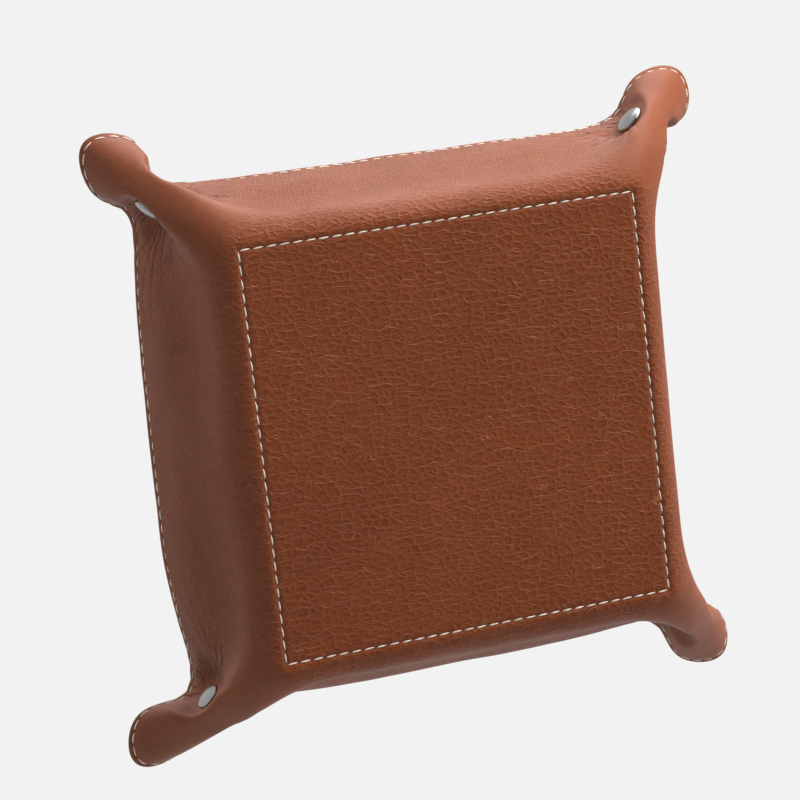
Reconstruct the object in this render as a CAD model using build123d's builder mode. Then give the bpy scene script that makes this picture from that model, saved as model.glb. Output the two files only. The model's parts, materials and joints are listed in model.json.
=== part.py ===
"""Valet tray folded from one square of leather.

A leather square with a lining and a stiff board sewn into its base is folded up into a shallow
bowl: each corner is pinched to a rounded ear and held by a press stud.  Millimetres, +Z up.
The origin is the middle of the base's underside, and the front side faces -Y.
"""
from build123d import *

import os
from math import cos, radians, sin, sqrt

import numpy as np

# Driving sizes of the folded sheet
stitched_square = 130.0      # side of the square seam round the base
flat_margin = 1.0            # flat leather left outside that seam before the bend
wall_height = 43.5           # from the base's underside to the rim
wall_lean = 18.3             # how far the rim stands outside the flat base, mid side
ear_reach = 48.5             # from the flat base's corner to the tip of an ear
ear_half_width = 9.8         # half the width of an ear's round lobe
pinch_half_width = 4.4       # half the distance between the pressed faces at a stud
bend_ease = 42.0             # how strongly the sheet leaves the base flat before it turns up

# How the soft walls and ears stand away from a perfectly even fold, each as its own size
side_bows = {"front": -1.9, "right": -0.7, "back": 2.8, "left": 5.2}
ear_sways = {"front_right": 5.1, "back_right": 1.2, "back_left": 4.6, "front_left": 0.7}
ear_stretches = {"front_right": 0.0, "back_right": 2.4, "back_left": 4.3, "front_left": -1.5}
ear_spreads = {"front_right": 0.8, "back_right": 0.2, "back_left": -0.3, "front_left": 0.2}
neck_sways = {"front_right": 0.8, "back_right": 2.3, "back_left": 1.0, "front_left": -0.6}
neck_spreads = {"front_right": -0.4, "back_right": 0.0, "back_left": -0.8, "front_left": 1.6}

# Layers
leather_thickness = 1.3
lining_thickness = 1.1
board_thickness = 1.5
board_inset = 2.0            # board edge inside the seam
layer_gap = 0.12             # glue line between the curved layers
ramp_share = 0.2             # part of a profile in which the lining comes down off the board

# Press studs
stud_reach_share = 0.441     # stud centre along the diagonal, as a share of the ear's reach
stud_height_share = 0.632    # and above the underside, as a share of the wall's height
cap_radius = 5.0
cap_rise = 1.7
cap_edge = 0.55
head_radius = 4.6
head_rise = 1.1
head_edge = 0.4
flange_radius = 4.8
flange_thickness = 0.7
socket_radius = 5.0
socket_past_middle = 0.4     # the socket's mouth lies this far past the ear's middle plane
socket_web = 0.7
barrel_radius = 1.3
barrel_lip = 0.4
barrel_lip_thickness = 0.2
post_radius = 0.95
bulb_radius = 1.65
bulb_neck_radius = 1.4
bulb_length = 1.8
bulb_clearance = 0.3         # round the bulb, so that the stud can swing out
seat_clearance = 0.06        # under caps, heads and flanges
hole_clearance = 0.1
pressed_radius = 6.4         # round the stud the sheet is pressed flat this far out
pressed_fade = 4.2
seat_margin = 0.25           # the seats sunk into the sheet are this much larger than the metal
seat_sink = 0.02             # and on the leather they lie this far below the pressed faces

# Seams
base_stitch_pitch = 4.15
rim_stitch_pitch = 4.5
stitch_length_share = 0.72
rim_seam_inset = 1.9
thread_width = 0.7
thread_thickness = 0.4
thread_clearance = 0.06      # between a straight stitch and the leather
seam_groove_width = 1.1
seam_groove_depth = 0.6
seam_corner_radius = 0.5

# Measures worked out from the sizes above
flat_half = stitched_square / 2 + flat_margin
flat_diagonal = flat_half * sqrt(2)
stud_u = flat_diagonal + ear_reach * stud_reach_share
stud_height = wall_height * stud_height_share

# The stations of one half side, from its middle to the ridge of the ear, and the five rows of
# each profile from the flat base up to the rim.  Wall stations hold shares of the lean, of the
# flat half and of the height; ear stations hold shares of the reach, the lobe's half width and
# the height, measured from the base's corner along and across the diagonal.
station_shares = (0, 0.46, 0.72, 0.86, 1)
row_shares = (0, 0.16, 0.38, 0.66, 1)
middle_wall_shares = ((0, 0, 0), (0.34, 0, 0.08), (0.56, 0, 0.333), (0.81, 0, 0.644), (1, 0, 1))
end_wall_shares = (
    (0, 0.46, 0), (0.35, 0.535, 0.08), (0.519, 0.64, 0.333), (0.802, 0.755, 0.644), (0.962, 0.865, 1.007),
)
neck_shares = (
    (-0.262, 1.3, 0), (-0.085, 1.38, 0.076), (0.148, 0.991, 0.287), (0.411, 0.449, 0.632), (0.522, 0.61, 1.011),
)
lobe_shares = (
    (-0.12, 0.595, 0), (0.052, 0.674, 0.055), (0.292, 0.676, 0.239), (0.498, 0.637, 0.483), (0.765, 1.05, 0.989),
)
ridge_shares = ((-0.02, 0, 0), (0.101, 0, 0.041), (0.317, 0, 0.198), (0.578, 0, 0.494), (1, 0, 0.984))
sway_row_shares = (0, 0, 0, 0.15, 1)          # an ear leans sideways only above the stud
sway_station_shares = {"lobe": 0.95, "ridge": 1.0}
bow_row_shares = (0, 0.12, 0.4, 0.75, 1)
bow_station_shares = {"middle": 1.0, "end": 0.7}
turn_power = 6               # profiles leave the base square to it, and turn to the diagonal late

# Where the sheet is cut into flat facets: finer at the bends, the pinches and the lobes
facet_place_shares = (0, 0.22, 0.4, 0.52, 0.6, 0.66, 0.72, 0.77, 0.81, 0.86, 0.91, 0.955, 1)
facet_row_shares = (0, 0.06, 0.12, 0.22, 0.36, 0.48, 0.57, 0.66, 0.75, 0.86, 1)

sides = ("front", "right", "back", "left")
corners = ("front_right", "back_right", "back_left", "front_left")


def side_frame(number):
    """Outward and along directions of a side, counted from the front and going round."""
    turn = radians(90 * number)
    outward = np.array((sin(turn), -cos(turn), 0))
    along = np.array((cos(turn), sin(turn), 0))
    return outward, along


def corner_frame(number):
    """Directions of the diagonal and across it, the latter towards the next side."""
    turn = radians(90 * number - 45)
    return np.array((cos(turn), sin(turn), 0)), np.array((-sin(turn), cos(turn), 0))


up = np.array((0.0, 0.0, 1.0))


def wall_profile(side, shares, which, hand):
    outward, along = side_frame(side)
    points = []
    for (lean_share, along_share, height_share), bow_share in zip(shares, bow_row_shares):
        bow = side_bows[sides[side]] * bow_share * bow_station_shares[which]
        points.append(
            outward * (flat_half + wall_lean * lean_share + bow)
            + along * flat_half * along_share * hand
            + up * wall_height * height_share
        )
    return points


def ear_profile(corner, shares, which, hand):
    """hand is -1 on the side before the corner and +1 on the side after it."""
    diagonal, across = corner_frame(corner)
    name = corners[corner]
    spread = {"neck": neck_spreads[name], "lobe": ear_spreads[name], "ridge": 0}[which]
    sway = neck_sways[name] if which == "neck" else ear_sways[name] * sway_station_shares[which]
    points = []
    for (reach_share, width_share, height_share), sway_share in zip(shares, sway_row_shares):
        stretch = ear_stretches[name] * max(reach_share, 0) * sway_share
        half_width = ear_half_width * width_share + spread * sway_share
        points.append(
            diagonal * (flat_diagonal + ear_reach * reach_share + stretch)
            + across * (hand * half_width + sway * sway_share)
            + up * wall_height * height_share
        )
    return points


def stations():
    """All profiles round the tray as (place, start direction, points), in order."""
    found = []
    for number in range(4):
        outward, _ = side_frame(number)
        diagonal, _ = corner_frame(number)
        next_outward, _ = side_frame(number + 1)
        middle = 2 * number
        places = [middle + share for share in station_shares] + [
            middle + 2 - share for share in station_shares[-2:0:-1]
        ]
        profiles = [
            wall_profile(number, middle_wall_shares, "middle", 1),
            wall_profile(number, end_wall_shares, "end", 1),
            ear_profile(number, neck_shares, "neck", -1),
            ear_profile(number, lobe_shares, "lobe", -1),
            ear_profile(number, ridge_shares, "ridge", 1),
            ear_profile(number, lobe_shares, "lobe", 1),
            ear_profile(number, neck_shares, "neck", 1),
            wall_profile((number + 1) % 4, end_wall_shares, "end", -1),
        ]
        for place, points in zip(places, profiles):
            from_middle = place - middle
            base = outward if from_middle <= 1 else next_outward
            share = min(from_middle, 2 - from_middle) ** turn_power
            direction = base * (1 - share) + diagonal * share
            found.append((place, direction / np.linalg.norm(direction), np.array(points)))
    return found


def bent_spline(knots, values, places, start_slope=None, period=None):
    """Smooth cubic through values at knots: closed when a period is given, else clamped at its start."""
    knots = np.array(knots, float)
    if period:
        knots = np.append(knots, knots[0] + period)
        values = np.append(values, values[:1], axis=0)
    spans = np.diff(knots)
    shape = (-1,) + (1,) * (values.ndim - 1)
    slopes = np.diff(values, axis=0) / spans.reshape(shape)
    count = len(knots)
    matrix = np.zeros((count, count))
    right = np.zeros(values.shape)
    for i in range(1, count - 1):
        matrix[i, i - 1:i + 2] = spans[i - 1], 2 * (spans[i - 1] + spans[i]), spans[i]
        right[i] = 6 * (slopes[i] - slopes[i - 1])
    if period:
        matrix[0, [0, 1, -2]] = 2 * (spans[0] + spans[-1]), spans[0], spans[-1]
        right[0] = 6 * (slopes[0] - slopes[-1])
        matrix[-1, [0, -1]] = 1, -1
    else:
        matrix[0, :2] = 2 * spans[0], spans[0]
        right[0] = 6 * (slopes[0] - start_slope)
        matrix[-1, -1] = 1
    bends = np.linalg.solve(matrix, right.reshape(count, -1)).reshape(values.shape)
    places = np.array(places, float)
    if period:
        places = np.mod(places, period)
    i = np.clip(np.searchsorted(knots, places, side="right") - 1, 0, count - 2)
    span = spans[i].reshape(shape)
    rest = (knots[i + 1] - places).reshape(shape) / span
    part = 1 - rest
    return (
        rest * values[i] + part * values[i + 1]
        + ((rest**3 - rest) * bends[i] + (part**3 - part) * bends[i + 1]) * span**2 / 6
    )


def smooth_step(share):
    share = np.clip(share, 0, 1)
    return share * share * (3 - 2 * share)


def press_flat(points):
    """Press the flanks of each ear flat and parallel round its stud."""
    for number in range(4):
        diagonal, across = corner_frame(number)
        u = points @ diagonal
        w = points @ across
        distance = np.hypot(u - stud_u, points[..., 2] - stud_height)
        pressed = smooth_step((pressed_radius + pressed_fade - distance) / pressed_fade)
        pressed = pressed * smooth_step(abs(w) / pinch_half_width - 0.1)
        shift = (np.sign(w) * pinch_half_width - w) * pressed
        points = points + shift[..., None] * across
    return points


def sheet_points(places, rows):
    """Outer face of the leather at places round the tray (0 to 8) and rows up it (0 to 1)."""
    found = stations()
    profiles = [
        bent_spline(row_shares, points, rows, start_slope=direction * bend_ease)
        for _, direction, points in found
    ]
    around = bent_spline([place for place, _, _ in found], np.array(profiles), places, period=8)
    return press_flat(around)


def sheet_normals(places, rows, step=1e-3):
    """Unit normals into the tray."""
    rows = np.array(rows, float)
    around = sheet_points(places + step, rows) - sheet_points(places - step, rows)
    rising = sheet_points(places, np.minimum(rows + step, 1)) - sheet_points(places, np.maximum(rows - step, 0))
    normals = np.cross(rising, around)
    return normals / np.linalg.norm(normals, axis=-1)[..., None]


half_side = np.array(facet_place_shares)
side_places = np.concatenate((half_side[:-1], 2 - half_side[:0:-1]))
places = np.concatenate([side_places + 2 * number for number in range(4)])
rows = np.array(facet_row_shares)
outer_face = sheet_points(places, rows)
inward = sheet_normals(places, rows)
inward[:, 0] = up


def skin(depth):
    """Grid of points at a depth inside the leather's outer face; depth may change by row."""
    grid = outer_face + inward * np.broadcast_to(depth, rows.shape)[:, None]
    return [[Vector(*map(float, point)) for point in profile] for profile in grid]


def facets(first, second):
    """Two flat triangles for each cell between two neighbouring strings of points."""
    found = []
    for a, b, c, d in zip(first, first[1:], second, second[1:]):
        found.append(Face(Wire.make_polygon((a, b, d))))
        found.append(Face(Wire.make_polygon((a, d, c))))
    return found


def sheet_solid(outer_depth, inner_depth):
    """A bent sheet between two depths, with its flat base and its rim edge."""
    outside = skin(outer_depth)
    inside = skin(inner_depth)
    faces = [
        Face(Wire.make_polygon([profile[0] for profile in outside])),
        Face(Wire.make_polygon([profile[0] for profile in inside])),
    ]
    for grid in (outside, inside):
        for profile, following in zip(grid, grid[1:] + grid[:1]):
            faces += facets(profile, following)
    outer_rim = [profile[-1] for profile in outside]
    inner_rim = [profile[-1] for profile in inside]
    faces += facets(outer_rim + outer_rim[:1], inner_rim + inner_rim[:1])
    return Solid(Shell(faces))


def flank_plane(corner, hand):
    """Plane in the middle of an ear, centred on its stud, that looks out through one flank."""
    diagonal, across = corner_frame(corner)
    centre = diagonal * stud_u + up * stud_height
    return Plane(Vector(*centre), x_dir=Vector(*diagonal), z_dir=Vector(*(across * hand)))


def turned_piece(corner, hand, outline):
    """Turn an outline of (radius, distance from the middle plane) points about the stud's axis."""
    flank = flank_plane(corner, hand)
    section = Plane(flank.origin, x_dir=flank.x_dir, z_dir=flank.x_dir.cross(flank.z_dir))
    with BuildSketch(section) as half:
        with BuildLine():
            Polyline(*outline, close=True)
        make_face()
    revolve(half.sketch, axis=Axis(flank.origin, flank.z_dir))


def domed(start_radius, low, high, steps=4):
    """Points of a low dome's outline from its edge to its top."""
    quarter = [radians(90 * step / steps) for step in range(steps + 1)]
    return [(start_radius * cos(turn), low + (high - low) * sin(turn)) for turn in quarter]


def save(part, name):
    part.label = name
    export_step(part, f"parts/{name}.step")


os.makedirs("parts", exist_ok=True)

# Depths of the layers inside the leather's outer face
lining_rest_depth = leather_thickness + layer_gap
over_board = board_thickness * (1 - smooth_step(rows / ramp_share))
lining_outer_depth = lining_rest_depth + over_board
lining_inner_depth = lining_outer_depth + lining_thickness

# Faces that the metal pieces seat on, as distances from an ear's middle plane
pressed_inside = pinch_half_width - lining_rest_depth - lining_thickness
outer_seat = pinch_half_width + seat_clearance
inner_seat = pressed_inside - seat_clearance
barrel_hole = barrel_radius + hole_clearance
post_hole = post_radius + hole_clearance
outer_seat_radius = max(cap_radius, head_radius) + seat_margin
inner_seat_radius = max(socket_radius, flange_radius) + seat_margin
outer_cut = pinch_half_width - seat_sink

# Cuts for the studs: a hole through each flank and a flat round seat under the metal
with BuildPart() as leather_cuts:
    for number in range(4):
        turned_piece(number, 1, [
            (0, -2 * pinch_half_width), (outer_seat_radius, -2 * pinch_half_width),
            (outer_seat_radius, -outer_cut), (barrel_hole, -outer_cut), (barrel_hole, 0),
            (post_hole, 0), (post_hole, outer_cut), (outer_seat_radius, outer_cut),
            (outer_seat_radius, 2 * pinch_half_width), (0, 2 * pinch_half_width),
        ])
with BuildPart() as lining_cuts:
    for number in range(4):
        turned_piece(number, 1, [
            (0, -pinch_half_width), (barrel_hole, -pinch_half_width), (barrel_hole, -pressed_inside),
            (inner_seat_radius, -pressed_inside), (inner_seat_radius, pressed_inside),
            (post_hole, pressed_inside), (post_hole, pinch_half_width), (0, pinch_half_width),
        ])

# Outer leather: the folded sheet, a shallow groove for the base seam and the stud holes
with BuildPart() as outer_leather:
    add(sheet_solid(0, leather_thickness))
    with BuildSketch():
        groove_side = stitched_square + seam_groove_width
        RectangleRounded(groove_side, groove_side, seam_corner_radius + seam_groove_width)
        inner_side = stitched_square - seam_groove_width
        RectangleRounded(inner_side, inner_side, seam_corner_radius, mode=Mode.SUBTRACT)
    extrude(amount=seam_groove_depth, mode=Mode.SUBTRACT)
    add(leather_cuts.part, mode=Mode.SUBTRACT)
save(outer_leather.part, "outer_leather")

# Lining: rises over the base board and ends level with the leather at the rim
with BuildPart() as lining:
    add(sheet_solid(lining_outer_depth, lining_inner_depth))
    add(lining_cuts.part, mode=Mode.SUBTRACT)
save(lining.part, "lining")

# Base board: a stiff square inside the seam, between leather and lining
with BuildPart() as base_board:
    with BuildSketch(Plane.XY.offset(leather_thickness)):
        board_side = stitched_square - 2 * board_inset
        RectangleRounded(board_side, board_side, board_inset)
    extrude(amount=board_thickness)
save(base_board.part, "base_board")


def rim_facet_samples(steps=24):
    """Points spread evenly over the leather's outer facets between the last two rows."""
    low, high = outer_face[:, -2], outer_face[:, -1]
    next_low, next_high = np.roll(low, -1, axis=0), np.roll(high, -1, axis=0)
    found = []
    for first in range(steps + 1):
        for second in range(first + 1):
            found.append(low + (high - low) * first / steps + (next_high - high) * second / steps)
            found.append(low + (next_low - low) * first / steps + (next_high - next_low) * second / steps)
    return np.concatenate(found)


def rim_stitch_planes():
    """Even places a set distance below the rim, with x along it and z off the leather."""
    around = np.linspace(0, 8, 16 * len(side_places) + 1)[:-1]
    top_row = np.array((1.0,))
    near_row = top_row - 1e-2
    points = sheet_points(around, top_row)[:, 0]
    downward = sheet_points(around, near_row)[:, 0] - points
    points = points + rim_seam_inset * downward / np.linalg.norm(downward, axis=1)[:, None]
    outward = -sheet_normals(around, near_row)[:, 0]
    legs = np.linalg.norm(np.roll(points, -1, axis=0) - points, axis=1)
    reached = np.concatenate(((0,), np.cumsum(legs)))
    count = round(reached[-1] / rim_stitch_pitch)
    samples = rim_facet_samples()
    planes = []
    for distance in np.arange(count) * reached[-1] / count:
        leg = int(np.searchsorted(reached, distance, side="right")) - 1
        along = points[(leg + 1) % len(points)] - points[leg]
        place = points[leg] + along * (distance - reached[leg]) / legs[leg]
        off = np.cross(np.cross(along, outward[leg]), along)
        off = off / np.linalg.norm(off)
        under = samples - place
        heights = under @ off
        near = abs(under @ along) / legs[leg] < rim_stitch_pitch * stitch_length_share / 2 + thread_clearance
        near &= abs(under @ np.cross(off, along)) / legs[leg] < thread_width
        near &= abs(heights) < leather_thickness
        place = place + off * (heights[near].max() + thread_clearance)
        planes.append(Plane(Vector(*place), x_dir=Vector(*along), z_dir=Vector(*off)))
    return planes


def base_stitch_planes():
    """Even places in the base seam's groove, all at half its depth."""
    per_side = round(stitched_square / base_stitch_pitch)
    pitch = stitched_square / per_side
    planes = []
    for number in range(4):
        outward, along = side_frame(number)
        for step in range(per_side):
            place = outward * stitched_square / 2 + along * pitch * (step - (per_side - 1) / 2)
            place = place + up * seam_groove_depth / 2
            planes.append(Plane(Vector(*place), x_dir=Vector(*along), z_dir=Vector(*up)))
    return planes


# Rim thread: short straight stitches just off the leather's outer face
with BuildPart() as rim_thread:
    with Locations(*rim_stitch_planes()):
        Box(
            rim_stitch_pitch * stitch_length_share, thread_width, thread_thickness,
            align=(Align.CENTER, Align.CENTER, Align.MIN),
        )
save(rim_thread.part, "rim_thread")

# Base thread: stitches lying in the groove, clear of the surface that the tray stands on
with BuildPart() as base_thread:
    with Locations(*base_stitch_planes()):
        Box(base_stitch_pitch * stitch_length_share, thread_width, thread_thickness)
save(base_thread.part, "base_thread")

# Distances of the metal's own faces from an ear's middle plane
web_face = inner_seat - socket_web
mouth = -socket_past_middle
flange_face = inner_seat - flange_thickness
bulb_end = flange_face - bulb_length
bulb_waist = bulb_end + bulb_length / 2
post_end = flange_face - bulb_length / 3

for number, corner in enumerate(corners):
    # Cap: a low polished dome outside, with a barrel that is rolled over inside the socket
    with BuildPart() as snap_cap:
        rolled = web_face - seat_clearance
        turned_piece(number, -1, [
            (0, rolled - barrel_lip_thickness),
            (barrel_radius + barrel_lip, rolled - barrel_lip_thickness),
            (barrel_radius + barrel_lip, rolled),
            (barrel_radius, rolled),
            (barrel_radius, outer_seat),
            (cap_radius, outer_seat),
            *domed(cap_radius, outer_seat + cap_edge, outer_seat + cap_rise),
        ])
    save(snap_cap.part, f"snap_cap_{corner}")

    # Socket: a cup on the lining that the barrel passes into and the bulb snaps into
    with BuildPart() as snap_socket:
        bore = bulb_radius + bulb_clearance
        turned_piece(number, -1, [
            (barrel_hole, inner_seat), (socket_radius, inner_seat), (socket_radius, mouth),
            (bore, mouth), (bore, web_face), (barrel_hole, web_face),
        ])
    save(snap_socket.part, f"snap_socket_{corner}")

    # Stud: a flange on the lining of the other flank, with a hollow round bulb
    with BuildPart() as snap_stud:
        turned_piece(number, 1, [
            (post_hole, inner_seat), (flange_radius, inner_seat), (flange_radius, flange_face),
            (bulb_neck_radius, flange_face), (bulb_neck_radius, bulb_waist),
            (bulb_radius, (bulb_waist + bulb_end) / 2), (bulb_neck_radius, bulb_end),
            (0, bulb_end), (0, post_end - hole_clearance), (post_hole, post_end - hole_clearance),
        ])
    save(snap_stud.part, f"snap_stud_{corner}")

    # Post: a flatter domed head outside that flank, with a barrel up into the stud
    with BuildPart() as snap_post:
        turned_piece(number, 1, [
            (0, post_end), (post_radius, post_end), (post_radius, outer_seat),
            (head_radius, outer_seat),
            *domed(head_radius, outer_seat + head_edge, outer_seat + head_rise),
        ])
    save(snap_post.part, f"snap_post_{corner}")
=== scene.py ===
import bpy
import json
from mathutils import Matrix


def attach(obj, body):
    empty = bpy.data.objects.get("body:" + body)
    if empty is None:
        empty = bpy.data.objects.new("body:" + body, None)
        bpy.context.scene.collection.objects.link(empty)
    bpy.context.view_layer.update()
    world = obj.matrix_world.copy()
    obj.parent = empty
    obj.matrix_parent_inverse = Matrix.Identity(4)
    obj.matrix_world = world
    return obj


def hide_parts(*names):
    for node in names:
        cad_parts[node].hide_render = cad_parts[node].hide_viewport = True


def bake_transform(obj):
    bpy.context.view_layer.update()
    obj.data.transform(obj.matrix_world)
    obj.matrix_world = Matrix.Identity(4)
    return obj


bl_info = {
    "name": "Valet Tray",
    "version": (1, 0, 0),
    "blender": (4, 5, 0),
    "location": "3D View > Sidebar > Valet Tray",
    "description": "Builds a snap corner leather valet tray round its packed frame",
    "category": "Object",
}

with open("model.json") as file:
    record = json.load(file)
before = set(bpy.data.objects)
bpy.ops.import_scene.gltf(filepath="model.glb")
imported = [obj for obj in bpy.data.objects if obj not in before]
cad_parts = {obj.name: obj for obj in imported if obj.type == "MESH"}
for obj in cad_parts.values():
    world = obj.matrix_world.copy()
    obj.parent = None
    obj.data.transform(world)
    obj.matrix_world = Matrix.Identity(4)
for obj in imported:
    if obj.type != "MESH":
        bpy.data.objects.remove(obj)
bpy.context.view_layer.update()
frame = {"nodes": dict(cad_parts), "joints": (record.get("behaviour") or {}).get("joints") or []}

import itertools
import json
import math

import bmesh
import bpy
import numpy as np
from mathutils import Vector

mm = 0.001
root = "tray"
sides = ("front", "right", "back", "left")
corners = ("front_right", "back_right", "back_left", "front_left")
up = np.array((0.0, 0.0, 1.0))

# How the soft walls and ears stand away from an even fold
side_bows = {"front": -1.9 * mm, "right": -0.7 * mm, "back": 2.8 * mm, "left": 5.2 * mm}


def by_corner(front_right, back_right, back_left, front_left):
    return {
        "front_right": front_right * mm, "back_right": back_right * mm,
        "back_left": back_left * mm, "front_left": front_left * mm,
    }


ear_sways = by_corner(5.1, 1.2, 4.6, 0.7)
ear_stretches = by_corner(0.0, 2.4, 4.3, -1.5)
ear_spreads = by_corner(0.8, 0.2, -0.3, 0.2)
neck_sways = by_corner(0.8, 2.3, 1.0, -0.6)
neck_spreads = by_corner(-0.4, 0.0, -0.8, 1.6)

# The net of the folded sheet: stations round half a side, rows up a profile.  Wall stations hold
# shares of the lean, the flat half and the height, ear stations of the reach, the lobe and the height.
station_shares = (0, 0.46, 0.72, 0.86, 1)
row_shares = (0, 0.16, 0.38, 0.66, 1)
middle_wall_shares = ((0, 0, 0), (0.34, 0, 0.08), (0.56, 0, 0.333), (0.81, 0, 0.644), (1, 0, 1))
end_wall_shares = (
    (0, 0.46, 0), (0.35, 0.535, 0.08), (0.519, 0.64, 0.333), (0.802, 0.755, 0.644), (0.962, 0.865, 1.007),
)
neck_shares = (
    (-0.262, 1.3, 0), (-0.085, 1.38, 0.076), (0.148, 0.991, 0.287), (0.411, 0.449, 0.632), (0.522, 0.61, 1.011),
)
lobe_shares = (
    (-0.12, 0.595, 0), (0.052, 0.674, 0.055), (0.292, 0.676, 0.239), (0.498, 0.637, 0.483),
    (0.765, 1.05, 0.989),
)
ridge_shares = ((-0.02, 0, 0), (0.101, 0, 0.041), (0.317, 0, 0.198), (0.578, 0, 0.494), (1, 0, 0.984))
sway_row_shares = (0, 0, 0, 0.15, 1)
sway_station_shares = {"lobe": 0.95, "ridge": 1.0}
bow_row_shares = (0, 0.12, 0.4, 0.75, 1)
bow_station_shares = {"middle": 1.0, "end": 0.7}
turn_power = 6
pressed_radius, pressed_fade = 5.4 * mm, 6.4 * mm  # flat round a stud, and the ring where that fades out
flap_start = 60 * mm                               # along a diagonal, nothing nearer the middle bends
slot_leather, slot_edge = 0, 1
crease_start, crease_fade = 6 * mm, 9 * mm         # the modelled creases round a stud
ridge_bend = (2.0 * mm, 3.5 * mm)                  # where each bend starts and ends: across an ear's ridge,
foot_bend = (10 * mm, 11 * mm)                     # up it,
wall_bend = (54 * mm, 6.5 * mm)                    # and along the wall towards the stud


def length(name, description, default):
    return bpy.props.FloatProperty(name=name, description=description, default=default, unit="LENGTH")


def colour(name, description, default):
    return bpy.props.FloatVectorProperty(
        name=name, description=description, default=default, subtype="COLOR", size=3, min=0, max=1
    )


class TraySheetSizes(bpy.types.PropertyGroup):
    """Sizes of the folded leather and its lining"""
    stitched_square: length("Seam square", "Side of the seam round the base", 130 * mm)
    flat_margin: length("Flat margin", "Flat leather outside that seam", 1.0 * mm)
    wall_height: length("Wall height", "From the underside to the rim", 43.5 * mm)
    wall_lean: length("Wall lean", "How far the rim stands outside the flat base", 18.3 * mm)
    ear_reach: length("Ear reach", "From the base's corner to the tip of an ear", 48.5 * mm)
    ear_half_width: length("Ear half width", "Half the width of an ear's lobe", 9.8 * mm)
    pinch_half_width: length("Pinch", "Half the distance between the pressed faces", 4.4 * mm)
    bend_ease: length("Bend", "How strongly the sheet leaves the base flat", 42 * mm)
    leather_thickness: length("Leather", "Thickness of the outer leather", 1.3 * mm)
    lining_thickness: length("Lining", "Thickness of the lining", 1.1 * mm)
    board_thickness: length("Board", "Thickness of the base board", 1.5 * mm)
    layer_gap: length("Glue line", "Between leather and lining", 0.12 * mm)
    stud_reach: length("Stud reach", "Stud from the base's corner", 21.3885 * mm)
    stud_height: length("Stud height", "Stud above the underside", 27.492 * mm)
    wrinkle_depth: length("Wrinkles", "Depth of the creases round a stud", 0.9 * mm)
    flat_size: length("Flat size", "Side of the sheet when it lies flat", 234 * mm)
    flat_round: length("Flat corner", "Radius of its corners when it lies flat", 15.5 * mm)


class TraySeamSizes(bpy.types.PropertyGroup):
    """Sizes of the stitching"""
    base_pitch: length("Base pitch", "From stitch to stitch in the base", 4.15 * mm)
    rim_pitch: length("Rim pitch", "From stitch to stitch along the rim", 4.5 * mm)
    rim_inset: length("Rim inset", "Seam below the rim", 2.1 * mm)
    thread_radius: length("Thread radius", "Half the thickness of the thread", 0.27 * mm)
    groove_depth: length("Groove", "How deep a seam draws the leather in", 0.38 * mm)
    groove_width: length("Groove width", "Half the width of the drawn-in band", 1.1 * mm)


class TrayColours(bpy.types.PropertyGroup):
    """Colours of the tray, as linear light"""
    leather: colour("Leather", "Body of the leather", (0.190, 0.041, 0.0088))
    # The crease highlight colour: a painted highlight on the crease lines, and painted light on the stretched
    # ears
    leather_painted_highlight: colour("Leather painted highlight", "Painted highlight on crease lines and painted light on stretched ears", (0.330, 0.112, 0.045))
    # The dark leather colour: a darker random tone of the grain, and also the painted shade in the creases
    # round the studs
    leather_dark: colour("Leather dark tone and painted crease shade", "Darker tone of the grain, and painted shade in the stud creases", (0.085, 0.016, 0.004))
    edge: colour("Edge paint", "Painted cut edge", (0.035, 0.014, 0.008))
    lining: colour("Lining", "Body of the lining", (0.115, 0.046, 0.024))
    thread: colour("Thread", "Waxed thread", (0.90, 0.82, 0.71))
    metal: colour("Metal", "Polished caps", (0.38, 0.38, 0.38))
    board: colour("Board", "Base board", (0.42, 0.33, 0.23))
    floor: colour("Floor", "Studio floor", (0.88, 0.88, 0.88))


def sheet_sizes():
    return bpy.context.scene.tray_sheet


def seam_sizes():
    return bpy.context.scene.tray_seam


def colours():
    return bpy.context.scene.tray_colours


def flat_half():
    size = sheet_sizes()
    return size.stitched_square / 2 + size.flat_margin


def stud_u():
    return flat_half() * math.sqrt(2) + sheet_sizes().stud_reach


def round_corners(points):
    """Each corner's number and directions, and how far the points are along and across its diagonal."""
    for number in range(4):
        diagonal, across = corner_frame(number)
        yield number, across, points @ diagonal, points @ across


def smooth_step(share):
    share = np.clip(share, 0, 1)
    return share * share * (3 - 2 * share)


def side_frame(number):
    """Outward and along directions of a side, counted from the front and going round."""
    turn = math.radians(90 * number)
    outward = np.array((math.sin(turn), -math.cos(turn), 0))
    along = np.array((math.cos(turn), math.sin(turn), 0))
    return outward, along


def corner_frame(number):
    """Directions of the diagonal and across it, the latter towards the next side."""
    turn = math.radians(90 * number - 45)
    diagonal = np.array((math.cos(turn), math.sin(turn), 0))
    return diagonal, np.array((-math.sin(turn), math.cos(turn), 0))


def wall_profile(side, shares, which, hand):
    size = sheet_sizes()
    outward, along = side_frame(side)
    points = []
    for (lean_share, along_share, height_share), bow_share in zip(shares, bow_row_shares):
        bow = side_bows[sides[side]] * bow_share * bow_station_shares[which]
        points.append(
            outward * (flat_half() + size.wall_lean * lean_share + bow)
            + along * flat_half() * along_share * hand
            + up * size.wall_height * height_share
        )
    return points


def ear_profile(corner, shares, which, hand):
    size = sheet_sizes()
    diagonal, across = corner_frame(corner)
    name = corners[corner]
    spread = {"neck": neck_spreads[name], "lobe": ear_spreads[name], "ridge": 0}[which]
    sway = neck_sways[name] if which == "neck" else ear_sways[name] * sway_station_shares[which]
    points = []
    for (reach_share, width_share, height_share), sway_share in zip(shares, sway_row_shares):
        stretch = ear_stretches[name] * max(reach_share, 0) * sway_share
        half_width = size.ear_half_width * width_share + spread * sway_share
        points.append(
            diagonal * (flat_half() * math.sqrt(2) + size.ear_reach * reach_share + stretch)
            + across * (hand * half_width + sway * sway_share)
            + up * size.wall_height * height_share
        )
    return points


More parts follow.
